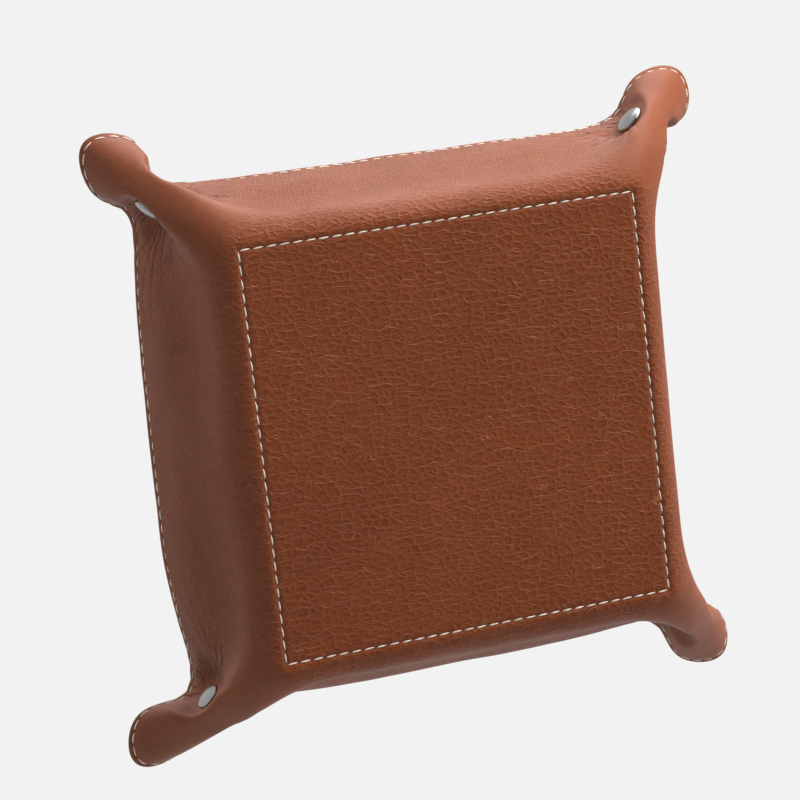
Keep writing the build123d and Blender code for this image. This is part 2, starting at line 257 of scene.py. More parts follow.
def stations():
    """All profiles round the tray as (place, start direction, points), in order."""
    found = []
    for number in range(4):
        outward, _ = side_frame(number)
        diagonal, _ = corner_frame(number)
        next_outward, _ = side_frame(number + 1)
        middle = 2 * number
        places = [middle + share for share in station_shares] + [
            middle + 2 - share for share in station_shares[-2:0:-1]
        ]
        profiles = [
            wall_profile(number, middle_wall_shares, "middle", 1),
            wall_profile(number, end_wall_shares, "end", 1),
            ear_profile(number, neck_shares, "neck", -1),
            ear_profile(number, lobe_shares, "lobe", -1),
            ear_profile(number, ridge_shares, "ridge", 1),
            ear_profile(number, lobe_shares, "lobe", 1),
            ear_profile(number, neck_shares, "neck", 1),
            wall_profile((number + 1) % 4, end_wall_shares, "end", -1),
        ]
        for place, points in zip(places, profiles):
            from_middle = place - middle
            base = outward if from_middle <= 1 else next_outward
            share = min(from_middle, 2 - from_middle) ** turn_power
            direction = base * (1 - share) + diagonal * share
            found.append((place, direction / np.linalg.norm(direction), np.array(points)))
    return found


def bent_spline(knots, values, places, start_slope=None, period=None):
    """Smooth cubic through values at knots: closed when a period is given, else clamped at its start."""
    knots = np.array(knots, float)
    if period:
        knots = np.append(knots, knots[0] + period)
        values = np.append(values, values[:1], axis=0)
    spans = np.diff(knots)
    shape = (-1,) + (1,) * (values.ndim - 1)
    slopes = np.diff(values, axis=0) / spans.reshape(shape)
    count = len(knots)
    matrix = np.zeros((count, count))
    right = np.zeros(values.shape)
    for i in range(1, count - 1):
        matrix[i, i - 1:i + 2] = spans[i - 1], 2 * (spans[i - 1] + spans[i]), spans[i]
        right[i] = 6 * (slopes[i] - slopes[i - 1])
    if period:
        matrix[0, [0, 1, -2]] = 2 * (spans[0] + spans[-1]), spans[0], spans[-1]
        right[0] = 6 * (slopes[0] - slopes[-1])
        matrix[-1, [0, -1]] = 1, -1
    else:
        matrix[0, :2] = 2 * spans[0], spans[0]
        right[0] = 6 * (slopes[0] - start_slope)
        matrix[-1, -1] = 1
    bends = np.linalg.solve(matrix, right.reshape(count, -1)).reshape(values.shape)
    places = np.array(places, float)
    if period:
        places = np.mod(places, period)
    i = np.clip(np.searchsorted(knots, places, side="right") - 1, 0, count - 2)
    span = spans[i].reshape(shape)
    rest = (knots[i + 1] - places).reshape(shape) / span
    part = 1 - rest
    return (
        rest * values[i] + part * values[i + 1]
        + ((rest**3 - rest) * bends[i] + (part**3 - part) * bends[i + 1]) * span**2 / 6
    )


def press_flat(points):
    """Press the flanks of each ear flat and parallel round its stud."""
    size = sheet_sizes()
    for _, across, u, w in round_corners(points):
        distance = np.hypot(u - stud_u(), points[..., 2] - size.stud_height)
        pressed = smooth_step((pressed_radius + pressed_fade - distance) / pressed_fade)
        pressed = pressed * smooth_step(abs(w) / size.pinch_half_width - 0.1)
        shift = (np.sign(w) * size.pinch_half_width - w) * pressed
        points = points + shift[..., None] * across
    return points


def sheet_points(places, rows):
    """Outer face of the leather at places round the tray (0 to 8) and rows up it (0 to 1)."""
    found = stations()
    profiles = [
        bent_spline(row_shares, points, rows, start_slope=direction * sheet_sizes().bend_ease)
        for _, direction, points in found
    ]
    around = bent_spline([place for place, _, _ in found], np.array(profiles), places, period=8)
    return press_flat(around)


def sheet_normals(places, rows, step=1e-3):
    """Unit normals into the tray."""
    rows = np.array(rows, float)
    around = sheet_points(places + step, rows) - sheet_points(places - step, rows)
    rising = sheet_points(places, np.minimum(rows + step, 1)) - sheet_points(places, np.maximum(rows - step, 0))
    normals = np.cross(rising, around)
    normals = normals / np.linalg.norm(normals, axis=-1)[..., None]
    normals[:, rows == 0] = up
    return normals


def column_places(steps):
    """Places round the tray, closer together at the necks and ears."""
    even = np.linspace(0, 1, steps + 1)
    half = even + 0.16 * np.sin(math.pi * even) ** 2 * (1 - even)
    side = np.concatenate((half[:-1], 2 - half[:0:-1]))
    return np.concatenate([side + 2 * number for number in range(4)])


def flat_places(places, rows):
    """Where each point lay on the flat sheet before it was folded, in metres."""
    size = sheet_sizes()
    fine_rows = np.linspace(0, 1, 81)
    profiles = sheet_points(places, fine_rows)
    legs = np.linalg.norm(np.diff(profiles, axis=1), axis=-1)
    reached = np.concatenate((np.zeros((len(places), 1)), np.cumsum(legs, axis=1)), axis=1)
    shares = np.array([np.interp(rows, fine_rows, line / line[-1]) for line in reached])
    fine_places = np.linspace(0, 8, 8 * 60 + 1)
    rim = sheet_points(fine_places, np.array((1.0,)))[:, 0]
    rim_reached = np.concatenate(((0,), np.cumsum(np.linalg.norm(np.diff(rim, axis=0), axis=1))))
    straight = size.flat_size / 2 - size.flat_round
    half_side = straight + size.flat_round * math.pi / 4
    rim_flat = np.zeros((len(places), 2))
    for number in range(4):
        outward, along = side_frame(number)
        for hand in (-1, 1):
            middle = 8 if number == 0 and hand < 0 else 2 * number
            found = (places - middle) * hand
            inside = (found >= 0) & (found <= 1)
            at, first, tip = (
                np.interp(place, fine_places, rim_reached) for place in (places[inside], middle, middle + hand)
            )
            run = (at - first) / (tip - first) * half_side
            turn = np.clip(run - straight, 0, None) / size.flat_round
            out = straight + size.flat_round * np.cos(turn)
            sideways = np.minimum(run, straight) + size.flat_round * np.sin(turn)
            rim_flat[inside] = out[:, None] * outward[:2] + hand * sideways[:, None] * along[:2]
    base = profiles[:, 0, :2]
    return base[:, None] + (rim_flat - base)[:, None] * shares[..., None]


def value_noise(points, cell, seed):
    """Soft noise from -1 to 1 over 3D points, with one random value at each grid corner."""
    random = np.random.default_rng(seed)
    table = random.uniform(-1, 1, 4096)
    scaled = points / cell
    low = np.floor(scaled).astype(int)
    part = smooth_step(scaled - low)
    total = np.zeros(points.shape[:-1])
    for step in itertools.product((0, 1), repeat=3):
        index = (low + step) @ np.array((73, 1013, 2711))
        weight = np.where(step, part, 1 - part)
        total += weight[..., 0] * weight[..., 1] * weight[..., 2] * table[np.mod(index, 4096)]
    return total


def stud_creases(points, strength):
    """Creases that fan out from each stud, deepest towards the rim and down the wall."""
    total = np.zeros(points.shape[:-1])
    for number, _, along, w in round_corners(points):
        u = along - stud_u()
        z = points[..., 2] - sheet_sizes().stud_height
        reach = np.hypot(u, z)
        turn = np.arctan2(z, -u)
        for hand in (-1, 1):
            random = np.random.default_rng(31 + 2 * number + (hand > 0))
            bent = turn + 0.25 * np.sin(reach / crease_fade + number)
            wave = sum(
                random.uniform(0.5, 1.0) * np.cos(order * bent + random.uniform(0, 2 * math.pi))
                for order in (9, 13, 17)
            ) / 1.6
            wave = -np.abs(wave) ** 0.8 + 0.4
            past = reach - crease_start
            near = smooth_step(past / (3.0 * mm)) * np.exp(-past / crease_fade)
            on_flank = smooth_step((hand * w - 0.5 * mm) / (2 * mm)) * (abs(w) < 40 * mm)
            to_rim = smooth_step((np.sin(turn) + 0.1) / 0.6)
            to_wall = smooth_step((np.cos(turn) + 0.15) / 0.5)
            aim = np.maximum(to_rim * smooth_step((np.cos(turn) + 0.75) / 0.4), 0.8 * to_wall)
            total += wave * near * on_flank * aim
    return total * strength


def seam_groove(points, depth, half_width):
    """How far the base seam draws the leather in."""
    half = sheet_sizes().stitched_square / 2
    off = np.abs(np.maximum(np.abs(points[..., 0]), np.abs(points[..., 1])) - half)
    return depth * np.exp(-((off / (0.55 * half_width)) ** 2)) * (points[..., 2] < 3 * mm)


def round_studs(points):
    """Nearest stud seen from each point: turn and reach round it, share of the fan of fine creases."""
    turns = np.zeros(len(points))
    reaches = np.full(len(points), 1.0)
    shares = np.zeros(len(points))
    for number, _, along, w in round_corners(points):
        u = along - stud_u()
        z = points[:, 2] - sheet_sizes().stud_height
        reach = np.sqrt(u**2 + z**2 + (np.abs(w) - sheet_sizes().pinch_half_width) ** 2)
        turn = np.arctan2(z, -u)
        near = smooth_step((reach - 4.4 * mm) / (1.4 * mm)) * smooth_step((27 * mm - reach) / (15 * mm))
        aim = smooth_step((turn + 0.75) / 0.5) * smooth_step((2.2 - turn) / 0.5)
        on_flank = smooth_step((np.abs(w) - 0.6 * mm) / (3.0 * mm))
        closest = reach < reaches
        turns[closest] = turn[closest] + 7 * number
        reaches[closest] = reach[closest]
        shares[closest] = (near * aim * on_flank)[closest]
    return turns, reaches, shares


def stretched_share(points):
    """How far the leather is stretched smooth over the ears and their ridges."""
    total = np.zeros(len(points))
    for _, _, u, w in round_corners(points):
        out = smooth_step((u - 86 * mm) / (18 * mm))
        total = np.maximum(total, out * smooth_step((22 * mm - np.abs(w)) / (14 * mm)))
    return total


class Fade:
    """One straight fade of a corner's flap, from the still tray (0) to the moving flap (1)."""

    def __init__(self, start, end):
        self.start = start
        self.end = end
        step = end - start
        self.slope = step / step.dot(step)
        self.offset = -start.dot(self.slope)

    def share(self, points):
        return points @ self.slope + self.offset


def flap_fades(number):
    """Across the ear's ridge, up the ridge, and along the wall towards the ear."""
    joint = next(j for j in frame["joints"] if j["name"] == f"open_{corners[number]}")
    place = np.array(joint["pos_m"])
    rise = np.array(joint["axis"])
    rise = rise * np.sign(rise[2])
    diagonal, across = corner_frame(number)
    tip_distance = 44 * mm
    lean = across - rise * ear_sways[corners[number]] / tip_distance
    lean = lean / np.linalg.norm(lean)
    _, along = side_frame(number + 1)
    stud = diagonal * stud_u() + up * sheet_sizes().stud_height
    return (
        Fade(place - lean * ridge_bend[0], place + lean * ridge_bend[1]),
        Fade(place - rise * foot_bend[0], place + rise * foot_bend[1]),
        Fade(stud + along * wall_bend[0], stud + along * wall_bend[1]),
    )


def regions(points):
    """For each point the number of its corner and fade as 3 * corner + fade, or -1 on the still tray."""
    found = np.full(len(points), -1)
    for number, _, u, _ in round_corners(points):
        shares = np.array([fade.share(points) for fade in flap_fades(number)])
        close = u > flap_start
        moving = (shares.min(axis=0) > 0) & close
        found[moving] = 3 * number + shares.argmin(axis=0)[moving]
    return found


def link_object(name, data):
    item = bpy.data.objects.new(name, data)
    bpy.context.scene.collection.objects.link(item)
    return item


def make_mesh(name, points, faces, slots, materials, uv=None, normals=None):
    """An object from arrays, with its flat sheet coordinates as a UV map and smooth given normals."""
    mesh = bpy.data.meshes.new(name)
    mesh.from_pydata([tuple(p) for p in points], [], faces)
    for material in materials:
        mesh.materials.append(material)
    mesh.polygons.foreach_set("material_index", np.array(slots, dtype=np.int32))
    mesh.polygons.foreach_set("use_smooth", np.ones(len(faces), dtype=bool))
    if uv is not None:
        layer = mesh.uv_layers.new(name="Sheet")
        corner_points = np.empty(len(mesh.loops), dtype=np.int32)
        mesh.loops.foreach_get("vertex_index", corner_points)
        layer.data.foreach_set("uv", uv[corner_points].astype(np.float32).ravel())
        turns, reaches, shares = round_studs(points)
        fan = mesh.uv_layers.new(name="Fan")
        fan_uv = np.stack((turns, reaches), axis=1)
        fan.data.foreach_set("uv", fan_uv[corner_points].astype(np.float32).ravel())
        rises = smooth_step((points[:, 2] - 2 * mm) / (14 * mm))
        for label, values in (("fan", shares), ("stretched", stretched_share(points)), ("wall", rises)):
            attribute = mesh.attributes.new(label, "FLOAT", "POINT")
            attribute.data.foreach_set("value", values.astype(np.float32))
    mesh.update()
    if normals is not None:
        mesh.normals_split_custom_set_from_vertices([tuple(n) for n in normals])
    return link_object(name, mesh)


def ride_or_blend(piece, region):
    if region < 0:
        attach(piece, root)
        return
    number, which = divmod(region, 3)
    fade = flap_fades(number)[which]
    tuple(fade.start)
    tuple(fade.end)
    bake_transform(piece)


region_names = ("ridge", "foot", "wall")


def region_name(name, region):
    if region < 0:
        return name
    number, which = divmod(region, 3)
    return f"{name}_{corners[number]}_{region_names[which]}"


def region_piece(name, region, points, faces, chosen, slots, materials, *point_values):
    """One piece from the chosen faces: on the still tray it rides the tray's body, on a flap it is only baked
    in place.
    """
    used = np.unique(np.concatenate([faces[i] for i in chosen]))
    renumber = {old: new for new, old in enumerate(used)}
    piece = make_mesh(
        region_name(name, region), points[used], [[renumber[v] for v in faces[i]] for i in chosen],
        slots[chosen], materials, *(values[used] for values in point_values),
    )
    ride_or_blend(piece, region)
    return piece


def cut_into_regions(name, points, faces, slots, materials, uv):
    """Cuts a closed sheet where two fades of a flap meet, and makes one piece for each region."""
    mesh = bpy.data.meshes.new(name + "_whole")
    mesh.from_pydata([tuple(p) for p in points], [], faces)
    mesh.polygons.foreach_set("material_index", np.array(slots, dtype=np.int32))
    work = bmesh.new()
    work.from_mesh(mesh)
    bpy.data.meshes.remove(mesh)
    layer_x = work.verts.layers.float.new("flat_x")
    layer_y = work.verts.layers.float.new("flat_y")
    work.verts.ensure_lookup_table()
    for vertex, (x, y) in zip(work.verts, uv):
        vertex[layer_x] = x
        vertex[layer_y] = y
    for number in range(4):
        fades = flap_fades(number)
        diagonal, _ = corner_frame(number)
        for first, second in ((0, 1), (0, 2), (1, 2)):
            slope = fades[first].slope - fades[second].slope
            offset = fades[first].offset - fades[second].offset
            near = []
            for face in work.faces:
                centre = np.array(face.calc_center_median())
                if centre @ diagonal < flap_start:
                    continue
                shares = [fade.share(centre) for fade in fades]
                if min(shares) > -0.3 and abs(shares[first] - shares[second]) < 0.6 and min(shares) < 1.3:
                    near.append(face)
            parts = set(near)
            for face in near:
                parts.update(face.edges)
                parts.update(face.verts)
            bmesh.ops.bisect_plane(
                work, geom=list(parts), dist=1e-7,
                plane_co=tuple(-offset * slope / slope.dot(slope)), plane_no=tuple(slope),
            )
    work.normal_update()
    work.verts.ensure_lookup_table()
    work.verts.index_update()
    all_points = np.array([v.co for v in work.verts])
    all_normals = np.array([v.normal for v in work.verts])
    all_uv = np.array([(v[layer_x], v[layer_y]) for v in work.verts])
    face_lists = [[v.index for v in face.verts] for face in work.faces]
    face_slots = np.array([face.material_index for face in work.faces])
    centres = np.array([face.calc_center_median() for face in work.faces])
    work.free()
    face_regions = regions(centres)
    # A face on the tray's side belongs to a flap when a corner of it already moves
    vertex_regions = regions(all_points)
    moved = [
        i for i, region in enumerate(face_regions)
        if region < 0 and vertex_regions[face_lists[i]].max() >= 0
    ]
    for i in moved:
        number = vertex_regions[face_lists[i]].max() // 3
        shares = [fade.share(centres[i]) for fade in flap_fades(number)]
        face_regions[i] = 3 * number + int(np.argmin(shares))
    pieces = []
    for region in range(-1, 12):
        chosen = np.flatnonzero(face_regions == region)
        if len(chosen):
            pieces.append(region_piece(
                name, region, all_points, face_lists, chosen, face_slots, materials, all_uv, all_normals,
            ))
    return pieces


def folded_layer(name, steps, strings, materials, rim_slot_rows):
    """A closed skin of one layer.  Each string is (row or base share, raise, depth) and may have a relief."""
    places = column_places(steps)
    count = len(places)
    rows = np.array([max(string[0], 0.0) for string in strings])
    unique_rows, back = np.unique(rows, return_inverse=True)
    surface = sheet_points(places, unique_rows)
    inward = sheet_normals(places, unique_rows)
    flat = flat_places(places, unique_rows)
    top = sheet_points(places, np.array((1.0,)))[:, 0]
    below = sheet_points(places, np.array((0.995,)))[:, 0]
    rising = (top - below) / np.linalg.norm(top - below, axis=1)[:, None]
    points = []
    uv = []
    for index, (row, lift, depth, *relief) in enumerate(strings):
        line = surface[:, back[index]].copy()
        flat_line = flat[:, back[index]].copy()
        if row < 0:
            line[:, :2] *= 1 + row
            flat_line *= 1 + row
        off = inward[:, back[index]]
        line = line + rising * lift + off * depth
        if relief:
            line = line + off * relief[0](line, flat_line)[:, None]
        points.append(line)
        uv.append(flat_line)
    middles = np.array([points[0].mean(axis=0), points[-1].mean(axis=0)])
    points = np.concatenate(points + [middles])
    uv = np.concatenate(uv + [np.zeros((2, 2))])
    faces = []
    slots = []
    for string in range(len(strings) - 1):
        a = string * count
        b = a + count
        for i in range(count):
            j = (i + 1) % count
            faces.append((a + j, a + i, b + i, b + j))
            slots.append(slot_edge if string in rim_slot_rows else slot_leather)
    low, high = len(points) - 2, len(points) - 1
    last = (len(strings) - 1) * count
    for i in range(count):
        j = (i + 1) % count
        faces.append((low, i, j))
        faces.append((high, last + j, last + i))
        slots += [slot_leather, slot_leather]
    return cut_into_regions(name, points, faces, slots, materials, uv)


def leather_relief(line, flat_line):
    """Outer face: creases round the studs, a soft unevenness and the drawn-in base seam."""
    size = sheet_sizes()
    seam = seam_sizes()
    flat_points = np.concatenate((flat_line, np.zeros((len(line), 1))), axis=1)
    on_wall = smooth_step((line[:, 2] - 1.5 * mm) / (8 * mm))
    uneven = value_noise(flat_points, 17 * mm, 5) * 0.28 * mm + value_noise(flat_points, 6 * mm, 9) * 0.07 * mm
    relief = stud_creases(line, size.wrinkle_depth)
    for _, _, u, _ in round_corners(line):
        distance = np.hypot(u - stud_u(), line[:, 2] - size.stud_height)
        on_wall = on_wall * smooth_step((distance - 5.6 * mm) / (3 * mm))
    return relief + uneven * on_wall + seam_groove(line, seam.groove_depth, seam.groove_width)


def rim_groove(row_distance):
    seam = seam_sizes()
    off = (row_distance - seam.rim_inset) / (0.5 * seam.groove_width)
    return seam.groove_depth * 0.7 * math.exp(-(off**2))


def leather_with_rim_groove(row_distance):
    extra = rim_groove(row_distance)

    def relief(line, flat_line):
        return leather_relief(line, flat_line) + extra
    return relief


class TRAY_OT_leather(bpy.types.Operator):
    """Fold the outer leather, with creases, drawn-in seams and a painted edge"""
    bl_idname = "tray.leather"
    bl_label = "Outer leather"

    def execute(self, context):
        size = sheet_sizes()
        thickness = size.leather_thickness
        base_shares = -np.array([
            0.94, 0.86, 0.78, 0.7, 0.62, 0.54, 0.46, 0.38, 0.3, 0.23, 0.17, 0.12, 0.085, 0.06,
            0.045, 0.036, 0.029, 0.023, 0.018, 0.0135, 0.009, 0.0045,
        ])
        strings = [(share, 0, 0, leather_relief) for share in base_shares]
        wall_rows = np.concatenate((np.linspace(0, 0.12, 9), np.linspace(0.12, 0.93, 74)[1:]))
        strings += [(row, 0, 0, leather_relief) for row in wall_rows]
        for distance in (2.9, 2.5, 2.2, 1.9, 1.6, 1.3, 0.9, 0.45):
            strings.append((1.0, -distance * mm, 0, leather_with_rim_groove(distance * mm)))
        edge_start = len(strings) - 1
        strings += [
            (1.0, -0.2 * mm, 0.05 * mm, leather_relief), (1.0, -0.05 * mm, 0.18 * mm, leather_relief),
            (1.0, 0, 0.4 * mm, leather_relief), (1.0, 0, 0.85 * mm, leather_relief),
            (1.0, -0.06 * mm, thickness),
        ]
        edge_end = len(strings) - 1
        strings += [(row, 0, thickness) for row in (0.9, 0.75, 0.6, 0.45, 0.3, 0.2, 0.12, 0.06, 0)]
        strings += [(-0.3, 0, thickness), (-0.9, 0, thickness)]
        materials = [leather_material(), edge_material()]
        pieces = folded_layer("leather", 80, strings, materials, range(edge_start, edge_end))
        for piece in pieces:
            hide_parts("outer_leather")
        return {"FINISHED"}


class TRAY_OT_lining(bpy.types.Operator):
    """Fold the lining inside the leather, over the base board"""
    bl_idname = "tray.lining"
    bl_label = "Lining"

    def execute(self, context):
        size = sheet_sizes()
        ramp = 0.2

        def back(row):
            over = size.board_thickness * (1 - smooth_step(max(row, 0) / ramp))
            return size.leather_thickness + size.layer_gap + over

        def face(row):
            return back(row) + size.lining_thickness

        strings = [(row, 0, back(row)) for row in (-0.9, -0.3, 0, 0.04, 0.08, 0.12, 0.16, 0.2)]
        strings += [(row, 0, back(row)) for row in (0.3, 0.45, 0.6, 0.75, 0.9)]
        edge_start = len(strings)
        strings += [
            (1.0, -0.06 * mm, back(1)), (1.0, 0, back(1) + 0.3 * mm),
            (1.0, 0, back(1) + 0.7 * mm), (1.0, -0.05 * mm, back(1) + 0.95 * mm),
            (1.0, -0.25 * mm, face(1)),
        ]
        edge_end = len(strings) - 1
        for distance in (0.6, 1.0, 1.4, 1.7, 1.9, 2.1, 2.4, 2.8):
            extra = rim_groove(distance * mm) * 0.8
            strings.append((1.0, -distance * mm, face(1) - extra))
        wall_rows = np.concatenate((np.linspace(0.93, 0.2, 44), np.linspace(0.2, 0, 14)[1:]))
        strings += [(row, 0, face(row)) for row in wall_rows]
        seam = seam_sizes()

        def seam_dip(line, flat_line):
            return -seam_groove(line * (1, 1, 0), seam.groove_depth, seam.groove_width)

        base_shares = (
            -0.0045, -0.009, -0.0135, -0.018, -0.023, -0.029, -0.04, -0.07, -0.2, -0.4, -0.6, -0.8, -0.94,
        )
        strings += [(share, 0, face(0), seam_dip) for share in base_shares]
        materials = [lining_material(), edge_material()]
        pieces = folded_layer("lining_skin", 48, strings, materials, range(edge_start - 1, edge_end))
        for piece in pieces:
            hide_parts("lining")
        return {"FINISHED"}


def seam_path(name, points, runs, offs):
    """A closed string of edges, with the directions along it and off the sheet stored at each point."""
    mesh = bpy.data.meshes.new(name)
    count = len(points)
    mesh.from_pydata([tuple(p) for p in points], [(i, (i + 1) % count) for i in range(count)], [])
    for label, values in (("run", runs), ("off", offs)):
        attribute = mesh.attributes.new(label, "FLOAT_VECTOR", "POINT")
        attribute.data.foreach_set("vector", np.array(values, dtype=np.float32).ravel())
    return link_object(name, mesh)


class Net:
    """Adds linked nodes to one node tree."""

    def __init__(self, tree):
        self.nodes = tree.nodes
        self.links = tree.links

    def add(self, kind, settings=None, **inputs):
        node = self.nodes.new(kind)
        for key, value in (settings or {}).items():
            setattr(node, key, value)
        for key, value in inputs.items():
            self.give(node, key.replace("_", " "), value)
        return node

    def give(self, node, key, value):
        socket = node.inputs[key]
        if isinstance(value, bpy.types.NodeSocket):
            self.links.new(value, socket)
        else:
            socket.default_value = value

    def give_all(self, node, *values):
        for key, value in enumerate(values):
            self.give(node, key, value)
        return node.outputs

    def maths(self, operation, *values):
        return self.give_all(self.add("ShaderNodeMath", {"operation": operation}), *values)[0]

    def times(self, first, second):
        return self.maths("MULTIPLY", first, second)

    def vector(self, operation, *values, output="Vector", **inputs):
        node = self.add("ShaderNodeVectorMath", {"operation": operation}, **inputs)
        return self.give_all(node, *values)[output]

    def ramp(self, value, low, high, to_low=0.0, to_high=1.0):
        node = self.add(
            "ShaderNodeMapRange", {"interpolation_type": "SMOOTHSTEP"}, Value=value,
            From_Min=low, From_Max=high, To_Min=to_low, To_Max=to_high,
        )
        return node.outputs["Result"]


def stitch_tree():
    """Geometry nodes that lay one bent stitch at each even step of a seam's path."""
    tree = bpy.data.node_groups.new("Seam stitches", "GeometryNodeTree")
    for label, kind, default in (
        ("Path", "Geometry", None), ("Count", "Int", 10), ("Stitch length", "Float", 3.3 * mm),
        ("Thread radius", "Float", 0.32 * mm), ("Bulge", "Float", 0.3 * mm), ("Slant", "Float", 0.12),
        ("Thread", "Material", None),
    ):
        socket = tree.interface.new_socket(label, in_out="INPUT", socket_type="NodeSocket" + kind)
        if default is not None:
            socket.default_value = default
    tree.interface.new_socket("Geometry", in_out="OUTPUT", socket_type="NodeSocketGeometry")
    net = Net(tree)
    given = net.add("NodeGroupInput").outputs

    path = net.add("GeometryNodeMeshToCurve", Mesh=given["Path"]).outputs["Curve"]
    even = net.add("GeometryNodeResampleCurve", {"mode": "COUNT"}, Curve=path, Count=given["Count"])
    off, run = (
        net.add(
            "GeometryNodeInputNamedAttribute", {"data_type": "FLOAT_VECTOR"}, Name=label
        ).outputs["Attribute"]
        for label in ("off", "run")
    )
    slanted = net.vector("SCALE", net.vector("CROSS_PRODUCT", off, run), Scale=given["Slant"])
    turn = net.add(
        "FunctionNodeAxesToRotation", {"primary_axis": "Z", "secondary_axis": "X"},
        Primary_Axis=off, Secondary_Axis=net.vector("ADD", run, slanted),
    ).outputs["Rotation"]

    half, minus = (net.times(given["Stitch length"], share) for share in (0.5, -0.5))
    sunk = net.times(given["Bulge"], -0.6)
    start, end = (net.add("ShaderNodeCombineXYZ", X=reach, Z=sunk).outputs[0] for reach in (minus, half))
    middle = net.add("ShaderNodeCombineXYZ", Z=given["Bulge"]).outputs[0]
    arch = net.add("GeometryNodeCurveQuadraticBezier", Resolution=6, Start=start, Middle=middle, End=end)
    along = net.add("GeometryNodeSplineParameter").outputs["Factor"]
    taper = net.ramp(net.maths("PINGPONG", along, 0.5), 0.0, 0.32, 0.45, 1.0)
    circle = net.add("GeometryNodeCurvePrimitiveCircle", Resolution=8, Radius=1.0)
    tube = net.add(
        "GeometryNodeCurveToMesh", Curve=arch.outputs["Curve"], Profile_Curve=circle.outputs["Curve"],
        Scale=net.times(taper, given["Thread radius"]), Fill_Caps=True,
    )

    kept = net.add("GeometryNodeCaptureAttribute")
    kept.capture_items.new("ROTATION", "Turn")
    net.give(kept, "Geometry", even.outputs["Curve"])
    net.give(kept, "Turn", turn)
    points = net.add("GeometryNodeCurveToPoints", {"mode": "EVALUATED"}, Curve=kept.outputs["Geometry"])
    lay = net.add(
        "GeometryNodeInstanceOnPoints", Points=points.outputs["Points"], Instance=tube.outputs["Mesh"],
        Rotation=kept.outputs["Turn"],
    )
    number = net.add(
        "GeometryNodeStoreNamedAttribute", {"data_type": "INT", "domain": "INSTANCE"}, Name="stitch",
        Geometry=lay.outputs["Instances"], Value=net.add("GeometryNodeInputIndex").outputs["Index"],
    )
    real = net.add("GeometryNodeRealizeInstances", Geometry=number.outputs["Geometry"])
    smooth = net.add("GeometryNodeSetShadeSmooth", Geometry=real.outputs["Geometry"])
    paint = net.add("GeometryNodeSetMaterial", Geometry=smooth.outputs["Geometry"], Material=given["Thread"])
    net.add("NodeGroupOutput", Geometry=paint.outputs["Geometry"])
    return tree


def lay_stitches(name, points, runs, offs, count, stitch_length, slant, lift_share=1.0):
    """Runs the stitch nodes on a path and parts the result into one piece for each body region."""
    seam = seam_sizes()
    tree = bpy.data.node_groups.get("Seam stitches") or stitch_tree()
    path = seam_path(name + "_path", points, runs, offs)
    modifier = path.modifiers.new("Stitches", "NODES")
    modifier.node_group = tree
    values = {
        "Count": count, "Stitch length": stitch_length, "Thread radius": seam.thread_radius,
        "Bulge": seam.thread_radius * lift_share, "Slant": slant, "Thread": thread_material(),
    }
    for item in tree.interface.items_tree:
        if item.item_type == "SOCKET" and item.in_out == "INPUT" and item.name in values:
            modifier[item.identifier] = values[item.name]
    graph = bpy.context.evaluated_depsgraph_get()
    mesh = bpy.data.meshes.new_from_object(path.evaluated_get(graph))
    bpy.data.objects.remove(path)
    count_points = len(mesh.vertices)
    places = np.empty(count_points * 3)
    mesh.vertices.foreach_get("co", places)
    places = places.reshape(-1, 3)
    ids = np.empty(count_points, dtype=np.int32)
    mesh.attributes["stitch"].data.foreach_get("value", ids)
    totals = np.zeros((ids.max() + 1, 3))
    np.add.at(totals, ids, places)
    centres = totals / np.bincount(ids)[:, None]
    faces = [list(polygon.vertices) for polygon in mesh.polygons]
    face_regions = regions(centres)[ids][[face[0] for face in faces]]
    bpy.data.meshes.remove(mesh)
    pieces = []
    for region in np.unique(face_regions):
        piece = region_piece(
            name, int(region), places, faces, np.flatnonzero(face_regions == region),
            np.zeros(len(faces)), [thread_material()],
        )
        pieces.append(piece)
    return pieces


def path_length(points):
    return np.linalg.norm(np.roll(points, -1, axis=0) - points, axis=1).sum()


